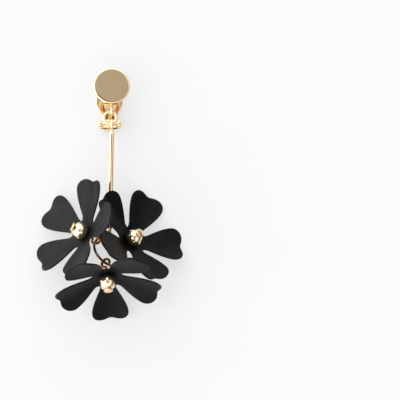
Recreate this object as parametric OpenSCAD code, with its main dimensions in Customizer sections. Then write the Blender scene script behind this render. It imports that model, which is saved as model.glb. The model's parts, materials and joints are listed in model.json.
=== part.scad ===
// Clip on earring, lying face up: a round clip, a straight bar and three
// five petal flowers that hang on one jump ring.
// Millimetres. +X is to the right, +Y points to the clip, +Z up, floor at 0.

/* [Flower sheet] */
// Radius from the flower's middle to its petal tips
petal_r = 13.2; // [11.5:0.1:14]
// Radius at which the petals leave the hub
hub_r = 3.9; // [3.4:0.1:4.4]
// Radius of the hole for the head pin
hub_hole_r = 0.48; // [0.45:0.01:0.7]
// Thickness of the painted sheet
sheet_t = 0.45; // [0.3:0.01:0.6]
// Height of the petal tips above the flower's middle
petal_rise = 4.4; // [3.6:0.1:5]
// Half width of a petal where it leaves the hub
root_half_w = 1.95; // [1.6:0.05:2.1]
// Half width of a petal at its widest
tip_half_w = 4.7; // [4:0.1:4.9]
// Depth of the notch in a petal's tip
notch_d = 0.55; // [0.2:0.05:0.9]
// Depth over which a petal's tip corners round off
lobe_d = 3.2; // [2.4:0.1:3.8]
// Height by which a petal's long edges curl up
edge_curl = 1.35; // [0.8:0.05:1.6]

/* [Balls and head pins] */
// Radius of a ball
ball_r = 2.15; // [1.9:0.05:2.3]
// Radius of the hole through a ball
ball_hole_r = 0.42; // [0.4:0.01:0.6]
// Radius of a head pin's wire
pin_r = 0.34; // [0.28:0.01:0.36]
// Radius of a head pin's flat head
head_r = 1.15; // [0.9:0.05:1.3]
// Thickness of a head pin's flat head
head_t = 0.45; // [0.3:0.05:0.6]
// Middle radius of the loop bent at a pin's end
pin_eye_r = 1.1; // [1.05:0.01:1.2]

/* [Rings and bar] */
// Wire radius of the large ring that holds the flowers
ring_wire_r = 0.33; // [0.28:0.01:0.42]
// Distance between the middles of the bar's two eyes
bar_len = 28.3; // [26:0.1:30]
// Radius of the bar
bar_r = 0.7; // [0.55:0.01:0.75]
// Middle radius of an eye of the bar
bar_eye_r = 1.1; // [1.05:0.01:1.2]
// Wire radius of an eye of the bar
bar_eye_wire_r = 0.36; // [0.3:0.01:0.38]
// Middle radius of the small ring under the clip
clip_ring_r = 1.55; // [1.5:0.05:1.7]
// Wire radius of the small ring under the clip
clip_ring_wire_r = 0.34; // [0.28:0.01:0.35]

/* [Clip] */
// Radius of the disc
disc_r = 4.6; // [4.3:0.05:4.8]
// Thickness of the disc
disc_t = 0.9; // [0.7:0.05:1.1]
// Height of the disc's face above the floor
disc_top = 8.4; // [8:0.1:8.8]
// Thickness of the leg behind the disc
leg_t = 0.75; // [0.6:0.05:0.85]
// Width of the leg under the disc
leg_w_top = 3.6; // [3:0.1:4]
// Width of the leg at its waist
leg_w_waist = 2; // [1.8:0.1:2.4]
// Middle radius of the eye under the disc
clip_eye_r = 1.02; // [1:0.01:1.1]
// Wire radius of the eye under the disc
clip_eye_wire_r = 0.3; // [0.25:0.01:0.31]
// Distance from the disc's middle to the hinge pin
hinge_y = 8.7; // [8.6:0.1:9.2]
// Radius of the hinge pin
hinge_pin_r = 0.4; // [0.35:0.01:0.45]
// Radial play between the hinge pin and the paddle
hinge_play = 0.05; // [0.03:0.01:0.08]
// Outside width over the two hinge cheeks
cheek_w = 5.4; // [5.1:0.1:5.7]
// Thickness of a hinge cheek
cheek_t = 0.6; // [0.5:0.05:0.7]
// Radius of a hinge cheek round its pin
cheek_r = 1.15; // [1.1:0.05:1.3]
// Thickness of the paddle
paddle_t = 0.7; // [0.55:0.05:0.8]
// Half width of the paddle's pad
pad_half_w = 3.4; // [3.1:0.05:3.6]
// Width of the paddle at its neck
paddle_neck_w = 3.6; // [3.1:0.1:3.7]
// Radius of the paddle's bow
paddle_bow_r = 11; // [10:0.5:13]

/* [Lie of the pieces] */
// Sideways angle of the bar
bar_yaw = 1.1; // [0:0.1:3]
// Sideways place of the small ring from the end of the bar
small_ring_shift = -0.35; // [-0.5:0.05:0]
// Sideways place of the leg and the paddle behind the disc
back_shift = -0.35; // [-0.5:0.05:0]
// Distance from the middle of the left flower to its pin's loop
pin_len_left = 3.1; // [2.9:0.05:3.4]
// Distance from the middle of the right flower to its pin's loop
pin_len_right = 2.8; // [2.7:0.05:2.9]
// Distance from the middle of the bottom flower to its pin's loop
pin_len_bottom = 3.1; // [3:0.05:3.3]

/* [Hidden] */
$fn = 48;

gold = [0.86, 0.70, 0.47];
black = [0.13, 0.13, 0.14];

// Small gap between pieces that touch on the real thing
fit_gap = 0.08;
// Overlap that solders two solids of one piece together
solder = 0.15;

// The pose of each flower
// columns: middle in X and Y as shares of the petal radius, direction of the lean, lean, turn of petal one
LEFT = [-0.4923, 0.0077, 156.5, 51.5, -3];
RIGHT = [0.2923, -0.1077, 36, 39.5, 68];
BOTTOM = [-0.1385, -0.7385, -86, 62, 60.5];
// Degrees by which each petal is bent up by hand
LEFT_BEND = [1, 2, 3.5, -0.5, -0.5];
RIGHT_BEND = [2, 4, 2.5, 3, -1];
BOTTOM_BEND = [-1, 0.5, -1, 1.5, -0.5];
// Degrees by which each pin's loop is turned from square to the large ring
left_turn = 22;
right_turn = 0;
bottom_turn = -30;
// Degrees by which each pin's head is bent over, away from the other flowers
left_nod = 22;
right_nod = 0;
bottom_nod = 10;

petal_count = 5;
petal_step = 360 / petal_count;
// Steps along a petal, across a petal and across the hub
along = 9;
across = 14;
hub_rows = 2;
// Share of a petal's half width that the notch takes
notch_share = 0.36;
// Share of a petal's length at which it is widest
wide_share = 0.79;
// Share of the hub's radius at which a slot between petals ends
slot_share = 0.93;
// Powers that shape a petal's side edges and its rise
side_power = 1.07;
rise_power = 0.82;
// Share of the hub's radius at which a petal bends
bend_share = 0.7;
// Convexity hint for the preview of a sheet
sheet_folds = 8;
sheet_lean = atan(petal_rise / petal_r);

// Height of the sheet's middle at a radius
function cup_z(r) = petal_rise * pow(r / petal_r, rise_power);

// Radius of a petal's tip edge, across from -1 to 1
function tip_edge(t) = abs(t) < notch_share
    ? petal_r - notch_d * (1 + cos(180 * abs(t) / notch_share)) / 2
    : petal_r - lobe_d * (1 - sqrt(1 - pow((abs(t) - notch_share) / (1 - notch_share), 2)));

// Half width of a petal at a share of its length
function half_w(s) = root_half_w + (tip_half_w - root_half_w)
    * pow(sin(90 * min(1, s / wide_share)), side_power);

// A point of the sheet's middle on a flat petal that points to +X
function petal_flat(s, t) =
    let (r = hub_r + s * (tip_edge(t) - hub_r))
    let (share = (r - hub_r) / (petal_r - hub_r))
    let (y = t * half_w(share))
    [r, y, cup_z(norm([r, y])) + edge_curl * t * t * share];

// The same point after the petal is bent by hand
function petal_bent(s, t, bend) =
    let (p = petal_flat(s, t), r0 = bend_share * hub_r, z0 = cup_z(r0))
    let (dr = p[0] - r0, dz = p[2] - z0)
    [r0 + dr * cos(bend) - dz * sin(bend), p[1], z0 + dr * sin(bend) + dz * cos(bend)];

function turn_z(p, a) = [p[0] * cos(a) - p[1] * sin(a), p[0] * sin(a) + p[1] * cos(a), p[2]];
function turn_y(p, a) = [p[0] * cos(a) + p[2] * sin(a), p[1], p[2] * cos(a) - p[0] * sin(a)];

// Direction of the sheet's thickness at an angle round the flower
function sheet_up(a) = [-sin(sheet_lean) * cos(a), -sin(sheet_lean) * sin(a), cos(sheet_lean)];

// Place across a petal of a column, closer together near the edges
function across_place(m) = sin(90 * (2 * m / across - 1));

// Middle points of the hub, row by row from the hole outwards
// Each petal has its own columns, and one more column ends the slot after it
columns = across + 2;
function column_petal(c) = floor(c / columns);
function column_place(c) = c % columns;
function root_point(c, bends) =
    let (k = column_petal(c), m = column_place(c))
    m > across
        ? turn_z([slot_share * hub_r, 0, cup_z(slot_share * hub_r)], petal_step * (k + 0.5))
        : turn_z(petal_bent(0, across_place(m), bends[k]), petal_step * k);
function hub_point(j, c, bends) =
    let (p = root_point(c, bends), r = norm([p[0], p[1]]), share = j / hub_rows)
    let (q = hub_hole_r + (r - hub_hole_r) * share)
    [p[0] * q / r, p[1] * q / r, cup_z(q) + (p[2] - cup_z(r)) * share];

function hub_mid(bends) = [
    for (j = [0 : hub_rows]) for (c = [0 : petal_count * columns - 1]) hub_point(j, c, bends)
];
function petal_mid(bends) = [
    for (k = [0 : petal_count - 1]) for (i = [1 : along]) for (m = [0 : across])
        turn_z(petal_bent(i / along, across_place(m), bends[k]), petal_step * k)
];
function sheet_mid(bends) = concat(hub_mid(bends), petal_mid(bends));
function sheet_side(mid, d) = [for (p = mid) p + d * sheet_up(atan2(p[1], p[0]))];

// Indices into the points of one side of the sheet
ring_count = petal_count * columns;
petal_start = (hub_rows + 1) * ring_count;
side_count = petal_start + petal_count * along * (across + 1);
function hub_i(j, c) = j * ring_count + c % ring_count;
function petal_i(k, i, m) = i == 0
    ? hub_i(hub_rows, k * columns + m)
    : petal_start + (k * along + i - 1) * (across + 1) + m;

// Two triangles of the upper side, and the same two on the lower side
function both_sides(a, b, c, d) = [
    [a, c, b], [a, d, c],
    [a + side_count, b + side_count, c + side_count],
    [a + side_count, c + side_count, d + side_count]
];
// A wall between the upper and the lower side along one edge
function wall(a, b) = [[a, b, b + side_count], [a, b + side_count, a + side_count]];

function sheet_faces() = concat(
    [for (j = [0 : hub_rows - 1]) for (c = [0 : ring_count - 1])
        each both_sides(hub_i(j, c), hub_i(j + 1, c), hub_i(j + 1, c + 1), hub_i(j, c + 1))],
    [for (k = [0 : petal_count - 1]) for (i = [0 : along - 1]) for (m = [0 : across - 1])
        each both_sides(petal_i(k, i, m), petal_i(k, i + 1, m),
            petal_i(k, i + 1, m + 1), petal_i(k, i, m + 1))],
    [for (c = [0 : ring_count - 1]) each wall(hub_i(0, c + 1), hub_i(0, c))],
    [for (k = [0 : petal_count - 1]) for (m = [across : across + 1])
        each wall(hub_i(hub_rows, k * columns + m), hub_i(hub_rows, k * columns + m + 1))],
    [for (k = [0 : petal_count - 1]) for (i = [0 : along - 1])
        each concat(wall(petal_i(k, i, 0), petal_i(k, i + 1, 0)),
            wall(petal_i(k, i + 1, across), petal_i(k, i, across)))],
    [for (k = [0 : petal_count - 1]) for (m = [0 : across - 1])
        each wall(petal_i(k, along, m), petal_i(k, along, m + 1))]
);

// Turning of a flower from its own frame to the part's frame
function posed(p, f) = turn_z(turn_y(turn_z(p, f[4] - f[2]), f[3]), f[2]);
function posed_sheet(f, bends) =
    let (mid = sheet_mid(bends))
    [for (p = concat(sheet_side(mid, sheet_t / 2), sheet_side(mid, -sheet_t / 2))) posed(p, f)];

// Each flower stands on its lowest petal tip
sheet_left = posed_sheet(LEFT, LEFT_BEND);
sheet_right = posed_sheet(RIGHT, RIGHT_BEND);
sheet_bottom = posed_sheet(BOTTOM, BOTTOM_BEND);
function lowest(points) = min([for (p = points) p[2]]);
hub_left = [petal_r * LEFT[0], petal_r * LEFT[1], -lowest(sheet_left)];
hub_right = [petal_r * RIGHT[0], petal_r * RIGHT[1], -lowest(sheet_right)];
hub_bottom = [petal_r * BOTTOM[0], petal_r * BOTTOM[1], -lowest(sheet_bottom)];

// The large ring runs through the middles of the three pin loops
function loop_mid(hub, f, len) = hub - len * posed([0, 0, 1], f);
eye_a = loop_mid(hub_left, LEFT, pin_len_left);
eye_b = loop_mid(hub_right, RIGHT, pin_len_right);
eye_c = loop_mid(hub_bottom, BOTTOM, pin_len_bottom);
side_b = eye_b - eye_a;
side_c = eye_c - eye_a;
ring_cross = cross(side_c, side_b);
ring_up = ring_cross[2] > 0 ? ring_cross : -ring_cross;
ring_mid = eye_a + (cross(cross(side_b, side_c), side_b) * (side_c * side_c)
    + cross(side_c, cross(side_b, side_c)) * (side_b * side_b)) / (2 * ring_cross * ring_cross);
ring_r = norm(eye_a - ring_mid);
ring_dir = atan2(ring_up[1], ring_up[0]);
ring_lean = acos(ring_up[2] / norm(ring_up));
function ring_point(a) =
    ring_mid + turn_z(turn_y([ring_r * cos(a), ring_r * sin(a), 0], ring_lean), ring_dir);

// The bar hangs on the ring, and the clip on the bar
// Place round the ring at which the bar hangs
bar_seat = 35;
// Depth of the small ring under the disc's face
clip_ring_depth = 2;
clip_ring_z = disc_top - clip_ring_depth;
// Bare metal between the disc's edge and its eye
eye_neck = 0.35;
// How squarely the ring passes through the bar's eye, 1 for quite square
ring_way = ring_point(bar_seat + 1) - ring_point(bar_seat - 1);
ring_square = abs(ring_way[0]) / norm(ring_way);
bar_slack = bar_eye_r - bar_eye_wire_r - ring_wire_r / ring_square - fit_gap;
bar_low = ring_point(bar_seat) + [0, bar_slack, 0];
bar_rise = asin((clip_ring_z - bar_low[2]) / bar_len);
bar_high = bar_low + bar_len * [sin(bar_yaw) * cos(bar_rise), cos(bar_yaw) * cos(bar_rise), sin(bar_rise)];
// The small ring crosses both eyes a little askew, so its wire takes more room in them
small_ring_reach = sqrt(clip_ring_r * clip_ring_r - small_ring_shift * small_ring_shift);
small_ring_room = (clip_ring_wire_r + abs(small_ring_shift) * bar_eye_wire_r / clip_ring_r)
    * clip_ring_r / small_ring_reach;
small_slack = bar_eye_r - bar_eye_wire_r - small_ring_room - fit_gap;
small_ring_mid = bar_high + [small_ring_shift, small_slack + small_ring_reach, 0];
clip_slack = clip_eye_r - clip_eye_wire_r - small_ring_room - fit_gap;
clip_eye_mid = small_ring_mid + [-small_ring_shift, small_ring_reach + clip_slack, 0];
clip_eye_drop = disc_r + clip_eye_r + clip_eye_wire_r + eye_neck;
disc_mid = clip_eye_mid + [0, clip_eye_drop, 0];

// The origin lies under the middle of the whole
all_petals = concat(
    [for (p = sheet_left) p + hub_left],
    [for (p = sheet_right) p + hub_right],
    [for (p = sheet_bottom) p + hub_bottom]
);
x_low = min([for (p = all_petals) p[0]]);
x_high = max([for (p = all_petals) p[0]]);
y_low = min([for (p = all_petals) p[1]]);
y_high = disc_mid[1] + disc_r;
origin = [(x_low + x_high) / 2, (y_low + y_high) / 2, 0];

// The ball sits on the hub, and the pin's head on the ball
seat_steps = 10;
ball_z = max([for (i = [0 : seat_steps]) let (r = hub_hole_r + i * (ball_r - hub_hole_r) / (seat_steps + 1))
    cup_z(r) + sqrt(ball_r * ball_r - r * r)]) + sheet_t / 2 + fit_gap;
function head_z(nod) = ball_z + (ball_r + fit_gap) / cos(nod);

// Turn of a pin about itself that sets its loop square to the large ring
function loop_turn(eye, f) =
    let (way = cross(ring_up, eye - ring_mid))
    let (local = turn_y(turn_z(way, -f[2]), -f[3]))
    atan2(local[1], local[0]) - 90;

// The clip's side view, from the middle of the disc: y along the clip, z up
disc_back = disc_top - disc_t;
// How far the knuckle stays inside the cheeks, and under the leg's bend
knuckle_inset = 0.3;
knuckle_room = 0.15;
knuckle_r = cheek_r - knuckle_inset;
leg_low_z = cheek_r + knuckle_r + knuckle_room + leg_t / 2;
bend_r = leg_low_z - cheek_r;
// The leg starts past the disc's middle and leaves its back at a share of the radius
leg_start = 1.6;
leg_leave = 0.75;
leg_slope = 0.93;
leg_high_z = disc_back - leg_t / 2 + solder;
// Softening of the leg's upper bend, and places from the hinge of its lower bend
leg_soften = 0.4;
leg_foot = [[cheek_r, 0.47 * leg_t], [0.54 * cheek_r, 0.08 * leg_t]];
// Degrees round the hinge between which the leg is bent, and its steps
bend_from = 90;
bend_to = 210;
bend_step = 20;
leg_path = concat(
    [[leg_start, leg_high_z], [-leg_leave * disc_r, leg_high_z]],
    [[-leg_slope * disc_r, leg_high_z - leg_soften]],
    [for (p = leg_foot) [p[0] - hinge_y, p[1] + leg_low_z]],
    [for (a = [bend_from : bend_step : bend_to]) [bend_r * cos(a) - hinge_y, bend_r * sin(a) + cheek_r]]
);
// Places of the paddle's lower bends: distance from the hinge, height over the floor
paddle_foot = [[0.23 * cheek_r, 0.73 * cheek_r], [1.08 * cheek_r, paddle_t], [2 * cheek_r, 0.56 * paddle_t]];
bow_start = -disc_r;
bow_steps = 12;
bow_end_angle = asin((pad_half_w - bow_start) / paddle_bow_r);
paddle_path = concat(
    [for (p = paddle_foot) [p[0] - hinge_y, p[1]]],
    [for (i = [0 : bow_steps]) let (a = i * bow_end_angle / bow_steps)
        [bow_start + paddle_bow_r * sin(a), paddle_t / 2 + paddle_bow_r * (1 - cos(a))]]
);

// Outline of a bent strip of even thickness along a path
function path_way(path, i) =
    let (d = path[min(i + 1, len(path) - 1)] - path[max(i - 1, 0)])
    d / norm(d);
function strip(path, t) = concat(
    [for (i = [0 : len(path) - 1]) let (w = path_way(path, i)) path[i] + t / 2 * [-w[1], w[0]]],
    [for (i = [len(path) - 1 : -1 : 0]) let (w = path_way(path, i)) path[i] - t / 2 * [-w[1], w[0]]]
);

// Half outline seen from the front, mirrored to both sides
function both_halves(side) = concat(
    side, [for (i = [len(side) - 1 : -1 : 0]) [-side[i][0], side[i][1]]]
);
// Where the leg is at its waist: share of the disc's radius, distance from the hinge
waist_share = 1.3;
waist_end = 2.4;
// At the hinge the leg is a narrow tongue, and a bridge across it carries the cheeks
tongue_w = 2.4;
// Places from the hinge between which the bridge lies
bridge_start = 0.1;
bridge_end = -0.9;
leg_outline = both_halves([
    [leg_w_top / 2, leg_start], [leg_w_top / 2, -leg_slope * disc_r],
    [leg_w_waist / 2, -waist_share * disc_r], [leg_w_waist / 2, waist_end - hinge_y],
    [tongue_w / 2, cheek_r - hinge_y], [tongue_w / 2, bridge_start - hinge_y],
    [cheek_w / 2, bridge_start - hinge_y], [cheek_w / 2, bridge_end - hinge_y],
    [tongue_w / 2, bridge_end - hinge_y], [tongue_w / 2, -2 * bend_r - hinge_y]
]);
// The pad tapers to the neck: share of its width, share of the disc's radius
pad_side = [0.97, 0.72];
pad_foot = [0.62, 1.24];
neck_end = 2;
paddle_outline = both_halves([
    [pad_half_w, 0], [pad_side[0] * pad_half_w, -pad_side[1] * disc_r],
    [pad_foot[0] * paddle_neck_w, -pad_foot[1] * disc_r],
    [paddle_neck_w / 2, neck_end - hinge_y], [paddle_neck_w / 2, -hinge_y]
]);

// A ring of round wire in the XY plane
module torus(r, wire) {
    rotate_extrude() translate([r, 0]) circle(r = wire);
}

// A side profile in Y and Z, pushed out to a width across X
module across_x(w) {
    rotate([90, 0, 90]) translate([0, 0, -w / 2]) linear_extrude(w) children();
}

module at_clip(shift = 0) {
    translate([disc_mid[0] + shift, disc_mid[1], 0] - origin) children();
}

module on_flower(f, hub) {
    translate(hub - origin) rotate([0, 0, f[2]]) rotate([0, f[3], 0]) children();
}

// Disc with a rounded edge
module disc() {
    edge = disc_t / 3;
    step = 15;
    rotate_extrude() polygon(concat(
        [[0, disc_back]],
        [for (a = [-90 : step : 0]) [disc_r - edge + edge * cos(a), disc_back + edge + edge * sin(a)]],
        [for (a = [0 : step : 90]) [disc_r - edge + edge * cos(a), disc_top - edge + edge * sin(a)]],
        [[0, disc_top]]
    ));
}

module leg() {
    intersection() {
        across_x(cheek_w) polygon(strip(leg_path, leg_t));
        linear_extrude(disc_top) polygon(leg_outline);
    }
}

module cheeks() {
    for (side = [-1, 1])
        translate([side * (cheek_w - cheek_t) / 2, 0, 0]) difference() {
            across_x(cheek_t) {
                translate([-hinge_y, cheek_r]) circle(r = cheek_r);
                translate([-hinge_y - cheek_r, cheek_r]) square([2 * cheek_r, leg_low_z - cheek_r]);
            }
            translate([0, -hinge_y, cheek_r]) rotate([0, 90, 0])
                cylinder(r = hinge_pin_r + hinge_play, h = 2 * cheek_t, center = true);
        }
}

module clip_frame() {
    color(gold) {
        at_clip() disc();
        at_clip(back_shift) {
            leg();
            cheeks();
        }
        translate(clip_eye_mid - origin) rotate([0, 90, 0]) torus(clip_eye_r, clip_eye_wire_r);
    }
}

module paddle() {
    color(gold) at_clip(back_shift) difference() {
        union() {
            intersection() {
                across_x(2 * pad_half_w) polygon(strip(paddle_path, paddle_t));
                linear_extrude(disc_top) {
                    circle(r = pad_half_w);
                    polygon(paddle_outline);
                }
            }
            translate([0, -hinge_y, cheek_r]) rotate([0, 90, 0])
                cylinder(r = knuckle_r, h = paddle_neck_w, center = true);
        }
        translate([0, -hinge_y, cheek_r]) rotate([0, 90, 0])
            cylinder(r = hinge_pin_r + hinge_play, h = cheek_w, center = true);
    }
}

// Rivet through both cheeks, with a low head on each end
module hinge_pin() {
    head_share = 1.6;
    color(gold) at_clip(back_shift) translate([0, -hinge_y, cheek_r]) rotate([0, 90, 0]) {
        cylinder(r = hinge_pin_r, h = cheek_w + 4 * fit_gap, center = true);
        for (side = [0, 1])
            mirror([0, 0, side]) translate([0, 0, cheek_w / 2 + fit_gap])
                cylinder(r1 = head_share * hinge_pin_r, r2 = hinge_pin_r, h = hinge_pin_r / 2);
    }
}

module clip_ring() {
    color(gold) translate(small_ring_mid - origin) torus(clip_ring_r, clip_ring_wire_r);
}

module bar_end() {
    rotate([0, 90, 0]) torus(bar_eye_r, bar_eye_wire_r);
    rotate([-90, 0, 0]) translate([0, 0, bar_eye_r - bar_eye_wire_r / 2])
        cylinder(r1 = bar_eye_wire_r, r2 = bar_r, h = 2 * bar_r);
}

module bar() {
    neck = bar_eye_r - bar_eye_wire_r / 2 + 2 * bar_r;
    color(gold) translate(bar_low - origin) rotate([0, 0, -bar_yaw]) rotate([bar_rise, 0, 0]) {
        bar_end();
        rotate([-90, 0, 0]) translate([0, 0, neck]) cylinder(r = bar_r, h = bar_len - 2 * neck);
        translate([0, bar_len, 0]) mirror([0, 1, 0]) bar_end();
    }
}

module cluster_ring() {
    color(gold) translate(ring_mid - origin) rotate([0, 0, ring_dir]) rotate([0, ring_lean, 0])
        torus(ring_r, ring_wire_r);
}

module petal_sheet(hub, sheet) {
    color(black) translate(hub - origin)
        polyhedron(points = sheet, faces = sheet_faces(), convexity = sheet_folds);
}

module ball(f, hub) {
    color(gold) on_flower(f, hub) translate([0, 0, ball_z]) difference() {
        sphere(r = ball_r);
        cylinder(r = ball_hole_r, h = 3 * ball_r, center = true);
    }
}

// Pin with a flat head in front of the ball and a loop behind the flower
module head_pin(f, hub, eye, len, turn, nod) {
    color(gold) on_flower(f, hub) {
        translate([0, 0, head_z(nod)]) rotate([0, nod, 0]) cylinder(r = head_r, h = head_t);
        rotate([0, 0, loop_turn(eye, f) + turn]) {
            translate([0, 0, pin_eye_r - len])
                cylinder(r = pin_r, h = head_z(nod) + head_t / 2 + len - pin_eye_r);
            translate([0, 0, -len]) rotate([90, 0, 0]) torus(pin_eye_r, pin_r);
        }
    }
}

module petals_left() { petal_sheet(hub_left, sheet_left); }
module petals_right() { petal_sheet(hub_right, sheet_right); }
module petals_bottom() { petal_sheet(hub_bottom, sheet_bottom); }
module ball_left() { ball(LEFT, hub_left); }
module ball_right() { ball(RIGHT, hub_right); }
module ball_bottom() { ball(BOTTOM, hub_bottom); }
module head_pin_left() { head_pin(LEFT, hub_left, eye_a, pin_len_left, left_turn, left_nod); }
module head_pin_right() { head_pin(RIGHT, hub_right, eye_b, pin_len_right, right_turn, right_nod); }
module head_pin_bottom() { head_pin(BOTTOM, hub_bottom, eye_c, pin_len_bottom, bottom_turn, bottom_nod); }

clip_frame();
paddle();
hinge_pin();
clip_ring();
bar();
cluster_ring();
petals_left();
petals_right();
petals_bottom();
ball_left();
ball_right();
ball_bottom();
head_pin_left();
head_pin_right();
head_pin_bottom();
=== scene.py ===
"""Clip on earring, lying face up: a round clip, a straight bar and three petal flowers.

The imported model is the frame. Each sub-assembly is a class that shapes its own
pieces in the frame's place and size and dresses them with a finish.
Lengths are in metres.
"""

import json
import logging
import math
from dataclasses import dataclass, field
from enum import Enum
from typing import Callable, Sequence

import bpy
from mathutils import Matrix, Vector

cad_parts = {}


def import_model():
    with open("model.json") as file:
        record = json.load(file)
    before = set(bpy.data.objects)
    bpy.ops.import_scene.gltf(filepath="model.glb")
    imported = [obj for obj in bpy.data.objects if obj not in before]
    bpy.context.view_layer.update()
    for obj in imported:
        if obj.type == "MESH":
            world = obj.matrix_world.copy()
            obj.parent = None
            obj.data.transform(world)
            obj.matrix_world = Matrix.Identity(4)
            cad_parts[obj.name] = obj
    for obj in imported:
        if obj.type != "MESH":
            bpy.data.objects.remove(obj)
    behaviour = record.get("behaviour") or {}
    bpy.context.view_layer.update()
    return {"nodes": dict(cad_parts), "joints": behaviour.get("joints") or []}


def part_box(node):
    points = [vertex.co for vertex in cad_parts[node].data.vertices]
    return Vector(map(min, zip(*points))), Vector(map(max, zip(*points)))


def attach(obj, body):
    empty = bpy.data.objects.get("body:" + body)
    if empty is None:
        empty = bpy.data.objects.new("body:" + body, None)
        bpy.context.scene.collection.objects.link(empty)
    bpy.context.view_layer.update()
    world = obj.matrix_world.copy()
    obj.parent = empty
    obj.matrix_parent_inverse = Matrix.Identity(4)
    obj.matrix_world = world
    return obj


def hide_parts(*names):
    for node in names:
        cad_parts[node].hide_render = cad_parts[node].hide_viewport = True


LOG = logging.getLogger("earring")
MM = 0.001
RAMP_REACH = (0.35, 0.65)
Profile = list[tuple[float, float]]


class Slot(Enum):
    """Material slots of the record."""

    GOLD = "gold_plate"
    BLACK = "black_paint"


class Body(Enum):
    """Rigid bodies of the earring."""

    EARRING = "earring"
    PADDLE = "paddle"


# Shader tools


@dataclass
class Shader:
    """A node tree that is being filled, with short calls to add and join nodes."""

    tree: bpy.types.NodeTree
    column: int = 0

    def add(self, kind: str, **settings: object) -> bpy.types.Node:
        """Adds a node.

        Args:
            kind: Blender's name of the node type.
            settings: properties of the node, or values of its input sockets by name.

        Returns:
            The new node.
        """
        node = self.tree.nodes.new(kind)
        node.location = (self.column, 0)
        self.column += 180
        for name, value in settings.items():
            label = name.replace("_", " ").title()
            if label in node.inputs:
                node.inputs[label].default_value = value
            else:
                setattr(node, name, value)
        return node

    def join(self, source: bpy.types.NodeSocket, target: bpy.types.NodeSocket) -> None:
        """Links an output socket to an input socket."""
        self.tree.links.new(source, target)

    def math(self, operation: str, first: object, second: object = 0.0) -> bpy.types.NodeSocket:
        """Adds a math node.

        Args:
            operation: name of the operation.
            first: a socket or a number.
            second: a socket or a number.

        Returns:
            The result socket.
        """
        node = self.add("ShaderNodeMath", operation=operation)
        for place, value in enumerate((first, second)):
            if isinstance(value, bpy.types.NodeSocket):
                self.join(value, node.inputs[place])
            else:
                node.inputs[place].default_value = value
        return node.outputs[0]


class EffectGroup:
    """A shader effect that more than one finish uses, built once as a node group."""

    title = "effect"
    inputs: dict[str, float] = {}
    outputs: tuple[str, ...] = ()

    @classmethod
    def tree(cls) -> bpy.types.NodeTree:
        """Finds the group's node tree, or makes it the first time.

        Returns:
            The node tree.
        """
        found = bpy.data.node_groups.get(cls.title)
        if found:
            return found
        tree = bpy.data.node_groups.new(cls.title, "ShaderNodeTree")
        for name, value in cls.inputs.items():
            socket = tree.interface.new_socket(name, in_out="INPUT", socket_type="NodeSocketFloat")
            socket.default_value = value
        for name in cls.outputs:
            tree.interface.new_socket(name, in_out="OUTPUT", socket_type="NodeSocketFloat")
        shader = Shader(tree)
        start = shader.add("NodeGroupInput")
        end = tree.nodes.new("NodeGroupOutput")
        cls.fill(shader, start, end)
        end.location = (shader.column, 0)
        return tree

    @classmethod
    def fill(cls, shader: Shader, start: bpy.types.Node, end: bpy.types.Node) -> None:
        """Fills the group between its input and output nodes.

        Args:
            shader: the group's node tree.
            start: the group's input node.
            end: the group's output node.
        """
        raise NotImplementedError

    @classmethod
    def place(cls, shader: Shader, **values: float) -> bpy.types.Node:
        """Places the group in a material.

        Args:
            shader: the material's node tree.
            values: the group's inputs, by name in lower case.

        Returns:
            The group node.
        """
        node = shader.add("ShaderNodeGroup", node_tree=cls.tree())
        for name, value in values.items():
            node.inputs[name.title()].default_value = value
        return node


class FineGrain(EffectGroup):
    """Fine grain of a surface: sprayed paint, or the faint unevenness of plating."""

    title = "fine_grain"
    inputs = {"Scale": 4000.0, "Spread": 900.0}
    outputs = ("Grain", "Cloud")

    @classmethod
    def fill(cls, shader: Shader, start: bpy.types.Node, end: bpy.types.Node) -> None:
        """Adds two noises: a fine grain, and a slow cloud that varies it.

        Args:
            shader: the group's node tree.
            start: the group's input node.
            end: the group's output node.
        """
        place = shader.add("ShaderNodeTexCoord")
        for name, source, detail in (("Grain", "Scale", 3.0), ("Cloud", "Spread", 2.0)):
            noise = shader.add("ShaderNodeTexNoise", detail=detail, roughness=0.55)
            shader.join(place.outputs["Object"], noise.inputs["Vector"])
            shader.join(start.outputs[source], noise.inputs["Scale"])
            shader.join(noise.outputs[0], end.inputs[name])


class RimWear(EffectGroup):
    """Where edges and raised places are rubbed brighter or thinner."""

    title = "rim_wear"
    inputs = {"Reach": 0.52, "Patch": 700.0}
    outputs = ("Mask",)

    @classmethod
    def fill(cls, shader: Shader, start: bpy.types.Node, end: bpy.types.Node) -> None:
        """Adds the pointiness of the mesh, broken up by a noise.

        Args:
            shader: the group's node tree.
            start: the group's input node.
            end: the group's output node.
        """
        geometry = shader.add("ShaderNodeNewGeometry")
        place = shader.add("ShaderNodeTexCoord")
        noise = shader.add("ShaderNodeTexNoise", detail=3.0)
        shader.join(place.outputs["Object"], noise.inputs["Vector"])
        shader.join(start.outputs["Patch"], noise.inputs["Scale"])
        over = shader.math("SUBTRACT", geometry.outputs["Pointiness"], start.outputs["Reach"])
        steep = shader.math("MULTIPLY", over, 14.0)
        broken = shader.math("MULTIPLY", steep, noise.outputs[0])
        mask = shader.add("ShaderNodeClamp")
        shader.join(broken, mask.inputs["Value"])
        shader.join(mask.outputs[0], end.inputs["Mask"])


# Finishes


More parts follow.
